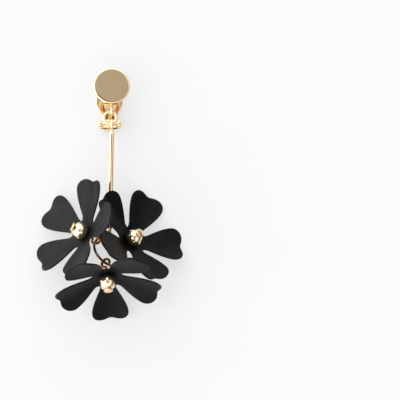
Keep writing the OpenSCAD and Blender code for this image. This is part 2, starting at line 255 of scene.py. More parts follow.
@dataclass(frozen=True)
class Finish:
    """Base of every finish: makes its material the first time it is asked for."""

    title: str

    def material(self) -> bpy.types.Material:
        """Finds the finish's material, or makes it the first time.

        Returns:
            The material.
        """
        found = bpy.data.materials.get(self.title)
        if found:
            return found
        material = bpy.data.materials.new(self.title)
        material.use_nodes = True
        material.node_tree.nodes.clear()
        shader = Shader(material.node_tree)
        surface = shader.add("ShaderNodeBsdfPrincipled")
        end = shader.add("ShaderNodeOutputMaterial")
        shader.join(surface.outputs[0], end.inputs["Surface"])
        self.fill(shader, surface, end)
        return material

    def fill(self, shader: Shader, surface: bpy.types.Node, end: bpy.types.Node) -> None:
        """Fills the material's node tree around its shader.

        Args:
            shader: the material's node tree.
            surface: the shader node.
            end: the material's output node.
        """
        raise NotImplementedError

    def tint(self, shader: Shader, factor: bpy.types.NodeSocket,
             low: tuple, high: tuple) -> bpy.types.NodeSocket:
        """Adds a ramp between two colours.

        Args:
            shader: the material's node tree.
            factor: socket that drives the ramp.
            low: colour at the low end.
            high: colour at the high end.

        Returns:
            The colour socket.
        """
        ramp = shader.add("ShaderNodeValToRGB")
        for stop, place, colour in zip(ramp.color_ramp.elements, RAMP_REACH, (low, high)):
            stop.position = place
            stop.color = (*colour, 1.0)
        shader.join(factor, ramp.inputs[0])
        return ramp.outputs[0]

    def between(self, shader: Shader, factor: bpy.types.NodeSocket,
                low: float, high: float) -> bpy.types.NodeSocket:
        """Adds a map from a factor of 0 to 1 to a range of values.

        Args:
            shader: the material's node tree.
            factor: socket with the factor.
            low: value at 0.
            high: value at 1.

        Returns:
            The value socket.
        """
        span = shader.add("ShaderNodeMapRange")
        span.inputs["To Min"].default_value = low
        span.inputs["To Max"].default_value = high
        shader.join(factor, span.inputs["Value"])
        return span.outputs[0]

    def relief(self, shader: Shader, surface: bpy.types.Node,
               height: bpy.types.NodeSocket, depth: float, strength: float) -> None:
        """Feeds a height to the surface's normal through a bump.

        Args:
            shader: the material's node tree.
            surface: the shader node.
            height: socket with the height, 0 to 1.
            depth: height in metres.
            strength: strength of the bump.
        """
        bump = shader.add("ShaderNodeBump", distance=depth, strength=strength)
        shader.join(height, bump.inputs["Height"])
        shader.join(bump.outputs[0], surface.inputs["Normal"])


@dataclass(frozen=True)
class GoldPlate(Finish):
    """Pale polished gold plating over brass.

    Attributes:
        colour: colour of the plating.
        deep: colour in its deeper clouds.
        rough_low: roughness where it is best polished.
        rough_high: roughness where it is dull.
        grain: scale of the fine grain.
        cloud: scale of the clouds.
        wear: pointiness at which wear starts, and scale of its patches.
        worn_share: how much wear adds to the roughness.
        bumps: height in metres and strength of the grain's relief.
    """

    title: str = "pale_gold_plate"
    colour: tuple[float, float, float] = (0.93, 0.71, 0.445)
    deep: tuple[float, float, float] = (0.91, 0.685, 0.415)
    rough_low: float = 0.05
    rough_high: float = 0.13
    grain: float = 5200.0
    cloud: float = 420.0
    wear: tuple[float, float] = (0.53, 900.0)
    worn_share: float = 0.25
    bumps: tuple[float, float] = (0.000004, 0.06)

    def fill(self, shader: Shader, surface: bpy.types.Node, end: bpy.types.Node) -> None:
        """Gives a warm colour that deepens in clouds, and fine polish marks.

        Args:
            shader: the material's node tree.
            surface: the shader node.
            end: the material's output node.
        """
        grain = FineGrain.place(shader, scale=self.grain, spread=self.cloud)
        wear = RimWear.place(shader, reach=self.wear[0], patch=self.wear[1])
        surface.inputs["Metallic"].default_value = 1.0
        colour = self.tint(shader, grain.outputs["Cloud"], self.deep, self.colour)
        shader.join(colour, surface.inputs["Base Color"])
        worn = shader.math("MULTIPLY", wear.outputs["Mask"], self.worn_share)
        cloudy = shader.math("ADD", grain.outputs["Cloud"], worn)
        rough = self.between(shader, cloudy, self.rough_low, self.rough_high)
        shader.join(rough, surface.inputs["Roughness"])
        self.relief(shader, surface, grain.outputs["Grain"], *self.bumps)


# Gold darkened to brown as painted shade, for the pins' wire and loops, which lie in the shade between the
# petals.
LOOP_SHADE_GOLD = GoldPlate("loop_gold_painted_shade", (0.4, 0.19, 0.07), (0.2, 0.085, 0.03), 0.08, 0.2)
SOFT_GOLD = GoldPlate("soft_gold_plate", (1.0, 0.815, 0.56), (0.98, 0.785, 0.53), 0.17, 0.26)
# Gold darkened further as painted shade, for the large ring, which lies in shadow between the petals and
# reflects them.
RING_SHADE_GOLD = GoldPlate("ring_gold_painted_shade", (0.24, 0.14, 0.075), (0.14, 0.08, 0.04), 0.1, 0.24)


@dataclass(frozen=True)
class BlackPaint(Finish):
    """Matte black spray paint on a stamped sheet.

    Attributes:
        colour: colour of the paint.
        dusty: colour where it is dusty or rubbed.
        rough_low: roughness at its smoothest.
        rough_high: roughness at its dullest.
        sheen: strength of its reflection.
        grain: scale of the sprayed grain.
        cloud: scale of the dust.
        wear: pointiness at which wear starts, and scale of its patches.
        bumps: height in metres and strength of the grain's relief.
    """

    title: str = "matte_black_paint"
    colour: tuple[float, float, float] = (0.0035, 0.0035, 0.0038)
    dusty: tuple[float, float, float] = (0.007, 0.007, 0.0074)
    rough_low: float = 0.3
    rough_high: float = 0.42
    sheen: float = 0.12
    grain: float = 7000.0
    cloud: float = 300.0
    wear: tuple[float, float] = (0.54, 1400.0)
    bumps: tuple[float, float] = (0.000012, 0.35)

    def fill(self, shader: Shader, surface: bpy.types.Node, end: bpy.types.Node) -> None:
        """Gives a near black with a dusty cloud, a sprayed grain and rubbed rims.

        Args:
            shader: the material's node tree.
            surface: the shader node.
            end: the material's output node.
        """
        grain = FineGrain.place(shader, scale=self.grain, spread=self.cloud)
        wear = RimWear.place(shader, reach=self.wear[0], patch=self.wear[1])
        dust = shader.math("ADD", grain.outputs["Cloud"], wear.outputs["Mask"])
        shader.join(self.tint(shader, dust, self.colour, self.dusty), surface.inputs["Base Color"])
        rough = self.between(shader, grain.outputs["Cloud"], self.rough_low, self.rough_high)
        shader.join(rough, surface.inputs["Roughness"])
        surface.inputs["Specular IOR Level"].default_value = self.sheen
        self.relief(shader, surface, grain.outputs["Grain"], *self.bumps)


@dataclass(frozen=True)
class PaleTable(Finish):
    """White surface under the earring. Its underside lets the light and the view through.

    Attributes:
        colour: colour of the surface.
        glow: strength of its own light.
        glow_colour: colour of that light.
        shade: share of the colour in its darker clouds.
        rough: roughness.
        sheen: strength of its reflection.
        grain: scale of the fine grain.
        cloud: scale of the clouds.
    """

    title: str = "pale_table"
    colour: tuple[float, float, float] = (0.215, 0.215, 0.218)
    glow: float = 0.605
    glow_colour: tuple[float, float, float, float] = (1.0, 0.998, 1.0, 1.0)
    shade: float = 0.99
    rough: float = 0.75
    sheen: float = 0.2
    grain: float = 900.0
    cloud: float = 40.0

    def fill(self, shader: Shader, surface: bpy.types.Node, end: bpy.types.Node) -> None:
        """Gives an even white that glows, so that shadows stay soft, and is clear from below.

        Args:
            shader: the material's node tree.
            surface: the shader node.
            end: the material's output node.
        """
        grain = FineGrain.place(shader, scale=self.grain, spread=self.cloud)
        low = tuple(channel * self.shade for channel in self.colour)
        colour = self.tint(shader, grain.outputs["Cloud"], low, self.colour)
        shader.join(colour, surface.inputs["Base Color"])
        surface.inputs["Roughness"].default_value = self.rough
        surface.inputs["Specular IOR Level"].default_value = self.sheen
        surface.inputs["Emission Color"].default_value = self.glow_colour
        surface.inputs["Emission Strength"].default_value = self.glow
        clear = shader.add("ShaderNodeBsdfTransparent")
        side = shader.add("ShaderNodeNewGeometry")
        mix = shader.add("ShaderNodeMixShader")
        shader.join(side.outputs["Backfacing"], mix.inputs[0])
        shader.join(surface.outputs[0], mix.inputs[1])
        shader.join(clear.outputs[0], mix.inputs[2])
        shader.join(mix.outputs[0], end.inputs["Surface"])


# Mesh tools


def deselect() -> None:
    """Leaves nothing selected."""
    bpy.ops.object.select_all(action="DESELECT")


def hold(piece: bpy.types.Object) -> None:
    """Selects one piece alone and makes it the active one.

    Args:
        piece: the piece.
    """
    deselect()
    piece.select_set(True)
    bpy.context.view_layer.objects.active = piece


def copy_of(node: bpy.types.Object, name: str) -> bpy.types.Object:
    """Makes a piece from a copy of a node's mesh.

    Args:
        node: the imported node.
        name: name of the new piece.

    Returns:
        The new piece, with its own merged mesh.
    """
    piece = bpy.data.objects.new(name, node.data.copy())
    bpy.context.scene.collection.objects.link(piece)
    piece.data.materials.clear()
    hold(piece)
    bpy.ops.object.mode_set(mode="EDIT")
    bpy.ops.mesh.select_all(action="SELECT")
    bpy.ops.mesh.remove_doubles(threshold=0.000002)
    bpy.ops.mesh.customdata_custom_splitnormals_clear()
    bpy.ops.object.mode_set(mode="OBJECT")
    return piece


def apply_modifiers(piece: bpy.types.Object) -> None:
    """Applies each modifier of a piece in order.

    Args:
        piece: the piece.
    """
    hold(piece)
    for modifier in list(piece.modifiers):
        bpy.ops.object.modifier_apply(modifier=modifier.name)


def put(piece: bpy.types.Object, place: Matrix) -> bpy.types.Object:
    """Moves a piece's mesh to a place, so that the object itself stays at the origin.

    Args:
        piece: the piece.
        place: where its local frame goes.

    Returns:
        The same piece.
    """
    piece.matrix_world = place
    hold(piece)
    bpy.ops.object.transform_apply(location=True, rotation=True, scale=True)
    return piece


def choose(piece: bpy.types.Object, wanted: Callable[[Vector], bool]) -> None:
    """Selects, in edit mode, the vertices whose places are wanted.

    Args:
        piece: the piece in edit mode.
        wanted: says whether a place is wanted.
    """
    bpy.ops.mesh.select_mode(type="VERT")
    bpy.ops.mesh.select_all(action="DESELECT")
    bpy.ops.object.mode_set(mode="OBJECT")
    for vertex in piece.data.vertices:
        vertex.select = wanted(vertex.co)
    bpy.ops.object.mode_set(mode="EDIT")


def close_up() -> None:
    """Caps the open ends of the mesh in edit mode, turns its faces outwards and leaves edit mode."""
    bpy.ops.mesh.select_mode(type="VERT")
    bpy.ops.mesh.select_all(action="SELECT")
    bpy.ops.mesh.fill_holes(sides=0)
    bpy.ops.mesh.select_all(action="SELECT")
    bpy.ops.mesh.normals_make_consistent(inside=False)
    bpy.ops.object.mode_set(mode="OBJECT")


def rounding(radius: float, height: float, size: float, start: float, end: float,
             steps: int = 4) -> Profile:
    """Points of an arc for a turned profile.

    Args:
        radius: distance of the arc's middle from the axis.
        height: height of the arc's middle.
        size: radius of the arc.
        start: first angle in degrees, 0 outwards and 90 up.
        end: last angle in degrees.
        steps: number of steps.

    Returns:
        The points as radius and height.
    """
    angles = [math.radians(start + (end - start) * step / steps) for step in range(steps + 1)]
    return [(radius + size * math.cos(a), height + size * math.sin(a)) for a in angles]


def turned(name: str, profile: Profile, sides: int = 48, bored: bool = False) -> bpy.types.Object:
    """Turns a profile round the Z axis: a circle that is extruded and resized ring by ring.

    Args:
        name: name of the piece.
        profile: rings as radius and height, in order along the outline.
        sides: sides of each ring.
        bored: whether the last ring meets the first, as in a tube.

    Returns:
        The piece.
    """
    radius, height = profile[0]
    bpy.ops.mesh.primitive_circle_add(vertices=sides, radius=radius, location=(0.0, 0.0, height))
    piece = bpy.context.active_object
    piece.name = name
    bpy.ops.object.transform_apply(location=True)
    bpy.ops.object.mode_set(mode="EDIT")
    bpy.ops.mesh.select_all(action="SELECT")
    for next_radius, next_height in profile[1:]:
        lift = (0.0, 0.0, next_height - height)
        bpy.ops.mesh.extrude_edges_move(TRANSFORM_OT_translate={"value": lift})
        share = next_radius / radius
        bpy.ops.transform.resize(value=(share, share, 1.0))
        radius, height = next_radius, next_height
    if bored:
        bpy.ops.mesh.select_all(action="DESELECT")
        bpy.ops.mesh.select_non_manifold()
        bpy.ops.mesh.bridge_edge_loops()
    close_up()
    return piece


def bent_wire(name: str, wire: float, start: Vector, turns: Sequence[tuple[Vector, float]],
              sides: int = 16, fineness: float = 5.0) -> bpy.types.Object:
    """Bends a round wire in the XZ plane, turn by turn.

    Args:
        name: name of the piece.
        wire: radius of the wire.
        start: middle of the wire's first end, which faces along Z.
        turns: the middle of each turn and its angle in degrees, from Z towards X.
        sides: sides of the wire.
        fineness: degrees of a step along a turn.

    Returns:
        The piece.
    """
    bpy.ops.mesh.primitive_circle_add(vertices=sides, radius=wire, location=start)
    piece = bpy.context.active_object
    piece.name = name
    bpy.ops.object.transform_apply(location=True)
    bpy.ops.object.mode_set(mode="EDIT")
    bpy.ops.mesh.select_all(action="SELECT")
    for middle, angle in turns:
        steps = max(2, round(abs(angle) / fineness))
        bpy.ops.mesh.spin(steps=steps, angle=-math.radians(angle), center=middle, axis=(0.0, 1.0, 0.0))
    close_up()
    return piece


def add_ring(radius: float, wire: float, middle: Vector, turn: tuple[float, float, float]) -> None:
    """Adds a closed ring of round wire to the mesh in edit mode."""
    bpy.ops.mesh.primitive_torus_add(location=middle, rotation=turn, major_segments=56, minor_segments=16,
                                     major_radius=radius, minor_radius=wire)


def joined(name: str, pieces: Sequence[bpy.types.Object]) -> bpy.types.Object:
    """Joins pieces into one that keeps their order.

    Args:
        name: name of the whole.
        pieces: the pieces, of which the first stays.

    Returns:
        The whole.
    """
    hold(pieces[0])
    for piece in pieces:
        piece.select_set(True)
    bpy.ops.object.join()
    whole = bpy.context.active_object
    whole.name = name
    return whole


def soften(piece: bpy.types.Object, width: float, segments: int = 2, angle: float = 40.0,
           levels: int = 0) -> None:
    """Rounds the sharp edges of a piece.

    Args:
        piece: the piece.
        width: width of the rounding.
        segments: steps of the rounding.
        angle: degrees from which an edge counts as sharp.
        levels: levels of subdivision after the rounding.
    """
    bevel = piece.modifiers.new("rounding", "BEVEL")
    bevel.width = width
    bevel.segments = segments
    bevel.limit_method = "ANGLE"
    bevel.angle_limit = math.radians(angle)
    if levels:
        smooth = piece.modifiers.new("smooth", "SUBSURF")
        smooth.levels = smooth.render_levels = levels
    apply_modifiers(piece)


def settle(piece: bpy.types.Object, finish: Finish, slot: Slot, body: Body, nodes: tuple[str, ...],
           smooth: float = 35.0) -> bpy.types.Object:
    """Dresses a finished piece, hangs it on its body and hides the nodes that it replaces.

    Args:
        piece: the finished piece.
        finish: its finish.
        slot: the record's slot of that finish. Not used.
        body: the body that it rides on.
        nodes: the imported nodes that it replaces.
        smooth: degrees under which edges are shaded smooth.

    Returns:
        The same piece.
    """
    hold(piece)
    bpy.ops.object.shade_smooth_by_angle(angle=math.radians(smooth))
    piece.data.materials.clear()
    piece.data.materials.append(finish.material())
    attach(piece, body.value)
    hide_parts(*nodes)
    LOG.info("%s: %d faces, for %s", piece.name, len(piece.data.polygons), ", ".join(nodes))
    deselect()
    return piece


def axes_at(place: Vector, x: Vector, z: Vector) -> Matrix:
    """Makes the matrix of a local frame.

    Args:
        place: where the frame stands.
        x: direction that its X lies as near as can be.
        z: direction of its Z.

    Returns:
        The matrix.
    """
    up = z.normalized()
    side = (x - up * x.dot(up)).normalized()
    turn = Matrix((side, up.cross(side), up)).transposed().to_4x4()
    return Matrix.Translation(place) @ turn


def middle_of(node: str) -> Vector:
    """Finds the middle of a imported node's box."""
    low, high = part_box(node)
    return (Vector(low) + Vector(high)) / 2


# Flowers


class Flower(Enum):
    """The three flowers of the cluster."""

    LEFT = "left"
    RIGHT = "right"
    BOTTOM = "bottom"


@dataclass(frozen=True)
class Lie:
    """How a flower lies: its axis, and the loop behind it.

    Attributes:
        direction: degrees round Z towards which the flower leans.
        lean: degrees from upright.
        back: distance from the ball's middle to the loop's middle.
        turn: degrees by which the loop is turned from square to the large ring.
        nod: degrees by which the pin's head is bent over.
    """

    direction: float
    lean: float
    back: float
    turn: float
    nod: float

    def axis(self) -> Vector:
        """Direction of the head pin, from the loop to the head."""
        return self.leaning(self.lean)

    def downhill(self) -> Vector:
        """Direction down the flower's slope, square to its axis."""
        return self.leaning(self.lean + 90.0)

    def leaning(self, angle: float) -> Vector:
        """Leans a direction towards the flower's side.

        Args:
            angle: degrees from upright.

        Returns:
            The direction.
        """
        lean, direction = math.radians(angle), math.radians(self.direction)
        flat = math.sin(lean)
        return Vector((flat * math.cos(direction), flat * math.sin(direction), math.cos(lean)))


LIES = {
    Flower.LEFT: Lie(156.5, 51.5, 5.843 * MM, 22.0, 22.0),
    Flower.RIGHT: Lie(36.0, 39.5, 5.543 * MM, 0.0, 0.0),
    Flower.BOTTOM: Lie(-86.0, 62.0, 5.843 * MM, -30.0, 10.0),
}

# Lit and shaded copies of one black paint: the left flower's is lighter and glossier as painted light, the
# right flower's darker and duller as painted shade, the bottom one's a little duller as painted shade.
LIT_AND_SHADED_COATS = {
    Flower.LEFT: BlackPaint(
        "matte_black_painted_light_left", (0.005, 0.005, 0.0053), (0.009, 0.009, 0.0095), sheen=0.135),
    Flower.RIGHT: BlackPaint(
        "matte_black_painted_shade_right", (0.003, 0.003, 0.0033), (0.006, 0.006, 0.0065), sheen=0.08),
    Flower.BOTTOM: BlackPaint("matte_black_painted_shade_bottom", sheen=0.1),
}


def loop_middle(flower: Flower) -> Vector:
    """Middle of the loop behind a flower."""
    lie = LIES[flower]
    return middle_of(f"ball_{flower.value}") - lie.back * lie.axis()


def ring_circle() -> tuple[Vector, Vector, float]:
    """Finds the circle through the middles of the three loops.

    Returns:
        Its middle, its axis and its radius.
    """
    first, second, third = (loop_middle(flower) for flower in Flower)
    side_b, side_c = second - first, third - first
    normal = side_b.cross(side_c)
    across = normal.cross(side_b) * side_c.dot(side_c) + side_c.cross(normal) * side_b.dot(side_b)
    middle = first + across / (2 * normal.dot(normal))
    axis = normal.normalized()
    return middle, axis if axis.z > 0 else -axis, (first - middle).length


@dataclass
class PetalSheet:
    """One cupped sheet of five notched petals.

    Attributes:
        flower: the flower it belongs to.
        finish: its paint, a lighter or darker copy for each flower as painted light and shade.
        rim: width of the rounded rim.
        sharp: degrees from which an edge is a rim.
        quads: degrees up to which two triangles are joined, across and within their plane.
        levels: levels of subdivision.
    """

    flower: Flower
    finish: Finish
    rim: float = 0.11 * MM
    sharp: float = 50.0
    quads: tuple[float, float] = (50.0, 60.0)
    levels: int = 2

    def build(self, nodes: dict[str, bpy.types.Object]) -> bpy.types.Object:
        """Shapes the sheet from its node: even faces, a rounded rim and smooth petals.

        Args:
            nodes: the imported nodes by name.

        Returns:
            The sheet.
        """
        node = f"petals_{self.flower.value}"
        piece = copy_of(nodes[node], f"petal_sheet_{self.flower.value}")
        bpy.ops.object.mode_set(mode="EDIT")
        bpy.ops.mesh.select_all(action="SELECT")
        face, shape = (math.radians(angle) for angle in self.quads)
        bpy.ops.mesh.tris_convert_to_quads(face_threshold=face, shape_threshold=shape)
        bpy.ops.mesh.select_all(action="DESELECT")
        bpy.ops.mesh.select_mode(type="EDGE")
        bpy.ops.mesh.edges_select_sharp(sharpness=math.radians(self.sharp))
        bpy.ops.mesh.bevel(offset=self.rim, segments=2, profile=0.6)
        bpy.ops.object.mode_set(mode="OBJECT")
        smooth = piece.modifiers.new("smooth", "SUBSURF")
        smooth.levels = smooth.render_levels = self.levels
        apply_modifiers(piece)
        return settle(piece, self.finish, Slot.BLACK, Body.EARRING, (node,), 60.0)


@dataclass
class Ball:
    """Polished ball in the middle of a flower, drilled for the head pin.

    Attributes:
        flower: the flower it sits in.
        radius: radius of the ball.
        bore: radius of the bore.
        rim: rounding of the bore's ends.
        finish: the plating.
    """

    flower: Flower
    radius: float = 2.15 * MM
    bore: float = 0.42 * MM
    rim: float = 0.06 * MM
    finish: Finish = field(default_factory=lambda: SOFT_GOLD)

    def build(self) -> bpy.types.Object:
        """Turns the ball round its bore, with a rounded rim at both ends of the bore.

        Returns:
            The ball.
        """
        edge = math.degrees(math.acos((self.bore + self.rim) / self.radius))
        top = math.sqrt(self.radius ** 2 - self.bore ** 2)
        outside = rounding(0.0, 0.0, self.radius, -edge, edge, 44)
        profile = [*outside, (self.bore, top - self.rim), (self.bore, self.rim - top)]
        ball = turned(f"ball_{self.flower.value}_polished", profile, 64, bored=True)
        soften(ball, 0.3 * self.rim, 2, 30.0)
        axis = LIES[self.flower].axis()
        node = f"ball_{self.flower.value}"
        put(ball, axes_at(middle_of(node), Vector((1, 0, 0)), axis))
        return settle(ball, self.finish, Slot.GOLD, Body.EARRING, (node,))


@dataclass
class HeadPin:
    """Flat headed pin through a ball and its flower, with its end bent into a loop.

    Attributes:
        flower: the flower it holds.
        wire: radius of the wire.
        head, head_height: radius and height of the head.
        head_edge, head_crown: rounding and crown of the head, as shares of its height.
        ball, gap: radius of the ball, and its distance from the head.
        loop, bend: radii of the loop and of the bend before it.
        closing: degrees of the loop.
        finish, wire_finish: plating of the head, and of the wire, whose default is darkened to brown as
            painted shade.
    """

    flower: Flower
    wire: float = 0.34 * MM
    head: float = 1.15 * MM
    head_height: float = 0.45 * MM
    head_edge: float = 0.35
    head_crown: float = 0.12
    ball: float = 2.15 * MM
    gap: float = 0.08 * MM
    loop: float = 1.1 * MM
    bend: float = 0.4 * MM
    closing: float = 308.0
    finish: Finish = field(default_factory=GoldPlate)
    # The wire's default plating is darkened as painted shade.
    wire_finish: Finish = field(default_factory=lambda: LOOP_SHADE_GOLD)

    def head_disc(self) -> bpy.types.Object:
        """Turns the flat head with rounded edges and a faint crown, its underside at zero.

        Returns:
            The head.
        """
        edge = self.head_edge * self.head_height
        crown = self.head_crown * self.head_height
        profile = [
            (0.4 * self.head, 0.0),
            *rounding(self.head - edge, edge, edge, -90, 0, 3),
            *rounding(self.head - edge, self.head_height - edge - crown, edge, 0, 70, 4),
            (0.7 * self.head, self.head_height - 0.4 * crown),
            (0.35 * self.head, self.head_height),
        ]
        return turned(f"head_{self.flower.value}", profile, 40)

    def bent_pin(self, back: float, top: float) -> bpy.types.Object:
        """Pushes the wire through the ball and bends its end into the loop.

        Args:
            back: distance from the ball's middle to the loop's middle.
            top: distance from the ball's middle to the wire's end in the head.

        Returns:
            The pin, with its straight part along Z.
        """
        rise = math.sqrt(self.loop ** 2 + 2 * self.loop * self.bend)
        bend_start = rise - back
        around = math.degrees(math.atan2(rise, self.bend))
        stem = turned(f"stem_{self.flower.value}", [(self.wire, bend_start), (self.wire, top)], 32)
        loop = bent_wire(f"loop_{self.flower.value}", self.wire, Vector((0.0, 0.0, bend_start)), (
            (Vector((self.bend, 0.0, bend_start)), -around),
            (Vector((0.0, 0.0, -back)), self.closing)), 32)
        soften(loop, 0.05 * MM, 2, 60.0)
        return joined(f"pin_{self.flower.value}", (stem, loop))

    def build(self) -> bpy.types.Object:
        """Sets the bent pin behind the ball and the head, bent over, before it.

        Returns:
            The head.
        """
        lie = LIES[self.flower]
        axis = lie.axis()
        ball_middle = middle_of(f"ball_{self.flower.value}")
        seat = (self.ball + self.gap) / math.cos(math.radians(lie.nod))
        middle, ring_axis, _ = ring_circle()
        way = ring_axis.cross(loop_middle(self.flower) - middle)
        turn = Matrix.Rotation(math.radians(lie.turn), 3, axis)
        across = turn @ (way - axis * way.dot(axis)).cross(axis)
        pin = put(self.bent_pin(lie.back, seat + self.head_height / 2), axes_at(ball_middle, across, axis))
        nod = Matrix.Rotation(math.radians(lie.nod), 4, "Y")
        lift = Matrix.Translation((0.0, 0.0, seat))
        head = put(self.head_disc(), axes_at(ball_middle, lie.downhill(), axis) @ lift @ nod)
        node = f"head_pin_{self.flower.value}"
        settle(pin, self.wire_finish, Slot.GOLD, Body.EARRING, (node,))
        return settle(head, self.finish, Slot.GOLD, Body.EARRING, (node,))


# Rings and bar


@dataclass
class JumpRing:
    """Ring of round wire, bent closed, with a fine seam where its ends meet.

    Attributes:
        node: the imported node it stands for.
        radius: radius of the ring.
        wire: radius of the wire.
        place: where its local frame goes.
        seam: degrees between the wire's ends.
        rim: rounding of those ends.
        finish: the plating.
    """

    node: str
    radius: float
    wire: float
    place: Matrix
    seam: float = 1.6
    rim: float = 0.03 * MM
    finish: Finish = field(default_factory=GoldPlate)

    def build(self) -> bpy.types.Object:
        """Bends the wire almost all the way round and rounds its two ends.

        Returns:
            The ring.
        """
        ring = bent_wire(f"{self.node}_bent", self.wire, Vector((self.radius, 0.0, 0.0)),
                         ((Vector((0.0, 0.0, 0.0)), 360.0 - self.seam),), 24, 4.0)
        soften(ring, self.rim, 2, 60.0)
        put(ring, self.place @ Matrix.Rotation(math.radians(90), 4, "X"))
        return settle(ring, self.finish, Slot.GOLD, Body.EARRING, (self.node,))


@dataclass
class Bar:
    """Straight round bar with a shoulder and an eye at each end.

    Attributes:
        radius: radius of the bar.
        eye: radius of the eyes.
        eye_wire: radius of their wire.
        yaw: degrees by which the bar is turned on the floor.
        curve: steps of the shoulder, as shares out and up.
        finish: the plating.
    """

    radius: float = 0.7 * MM
    eye: float = 1.1 * MM
    eye_wire: float = 0.36 * MM
    yaw: float = 1.1
    curve: Sequence[tuple[float, float]] = ((0.15, 0.3), (0.55, 0.62))
    finish: Finish = field(default_factory=GoldPlate)

    def ends(self) -> tuple[Vector, Vector]:
        """Finds the middles of the bar's eyes from its box.

        Returns:
            The lower and the upper middle.
        """
        low, high = (Vector(corner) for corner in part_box("bar"))
        out = self.eye + self.eye_wire
        half = (high.y - low.y) / 2 - out
        middle = (low.x + high.x) / 2
        side = half * math.tan(math.radians(self.yaw))
        return (Vector((middle - side, low.y + out, low.z + out)),
                Vector((middle + side, high.y - out, high.z - out)))

    def build(self) -> bpy.types.Object:
        """Turns the bar with its shoulders and adds the two eyes.

        Returns:
            The bar.
        """
        lower, upper = self.ends()
        length = (upper - lower).length
        start = self.eye - self.eye_wire / 2
        shoulder = 2 * self.radius
        edge = 0.5 * self.radius
        waist = 1.02 * self.eye_wire
        near = [
            (waist, start),
            *((waist + out * (self.radius - waist), start + up * shoulder) for out, up in self.curve),
            *rounding(self.radius - edge, start + shoulder, edge, -35, 0, 3),
        ]
        far = [(radius, length - height) for radius, height in reversed(near)]
        body = turned("bar_body", [*near, *far], 40)
        bpy.ops.object.mode_set(mode="EDIT")
        for height in (0.0, length):
            add_ring(self.eye, self.eye_wire, Vector((0.0, 0.0, height)), (0.0, math.radians(90), 0.0))
        bpy.ops.object.mode_set(mode="OBJECT")
        body.name = "bar_turned"
        put(body, axes_at(lower, Vector((1, 0, 0)), upper - lower))
        return settle(body, self.finish, Slot.GOLD, Body.EARRING, ("bar",), 50.0)


# Clip


def along_path(path: Profile, step: float) -> Profile:
    """Divides a path of straight stretches.

    Args:
        path: the corners of the path.
        step: distance between places, about.

    Returns:
        The places.
    """
    points = [Vector(point) for point in path]
    places = [points[0]]
    for first, last in zip(points, points[1:]):
        count = max(1, round((last - first).length / step))
        places += [first.lerp(last, index / count) for index in range(1, count + 1)]
    return [(place.x, place.y) for place in places]


def width_at(outline: Profile, y: float) -> float:
    """Reads an outline.

    Args:
        outline: half widths and their places along the clip, from the top down.
        y: a place along the clip.

    Returns:
        The half width there.
    """
    for (wide_a, y_a), (wide_b, y_b) in zip(outline, outline[1:]):
        if y_b <= y <= y_a and y_a > y_b:
            return wide_b + (wide_a - wide_b) * (y - y_b) / (y_a - y_b)
    return outline[0][0] if y > outline[0][1] else outline[-1][0]


def bent_strip(name: str, path: Profile, half_width: Callable[[float], float], thickness: float,
               rim: float) -> bpy.types.Object:
    """Bends a strip of sheet along a path in Y and Z.

    Args:
        name: name of the piece.
        path: places along the strip.
        half_width: half width at a place in Y.
        thickness: thickness of the sheet.
        rim: rounding of its edges.

    Returns:
        The piece.
    """
    bpy.ops.mesh.primitive_plane_add(size=2.0)
    piece = bpy.context.active_object
    piece.name = name
    bpy.ops.object.mode_set(mode="EDIT")
    choose(piece, lambda place: place.y > 0)
    bpy.ops.mesh.delete(type="VERT")
    bpy.ops.mesh.select_all(action="SELECT")
    bpy.ops.mesh.subdivide(number_cuts=5)
    (y, z), wide = path[0], half_width(path[0][0])
    bpy.ops.transform.translate(value=(0.0, 1.0 + y, z))
    bpy.ops.transform.resize(value=(wide, 1.0, 1.0))
    for next_y, next_z in path[1:]:
        next_wide = half_width(next_y)
        bpy.ops.mesh.extrude_edges_move(TRANSFORM_OT_translate={"value": (0.0, next_y - y, next_z - z)})
        bpy.ops.transform.resize(value=(next_wide / wide, 1.0, 1.0))
        y, z, wide = next_y, next_z, next_wide
    bpy.ops.object.mode_set(mode="OBJECT")
    sheet = piece.modifiers.new("sheet", "SOLIDIFY")
    sheet.thickness = thickness
    sheet.offset = 0.0
    sheet.use_even_offset = True
    soften(piece, rim, 3, 50.0, 1)
    return piece


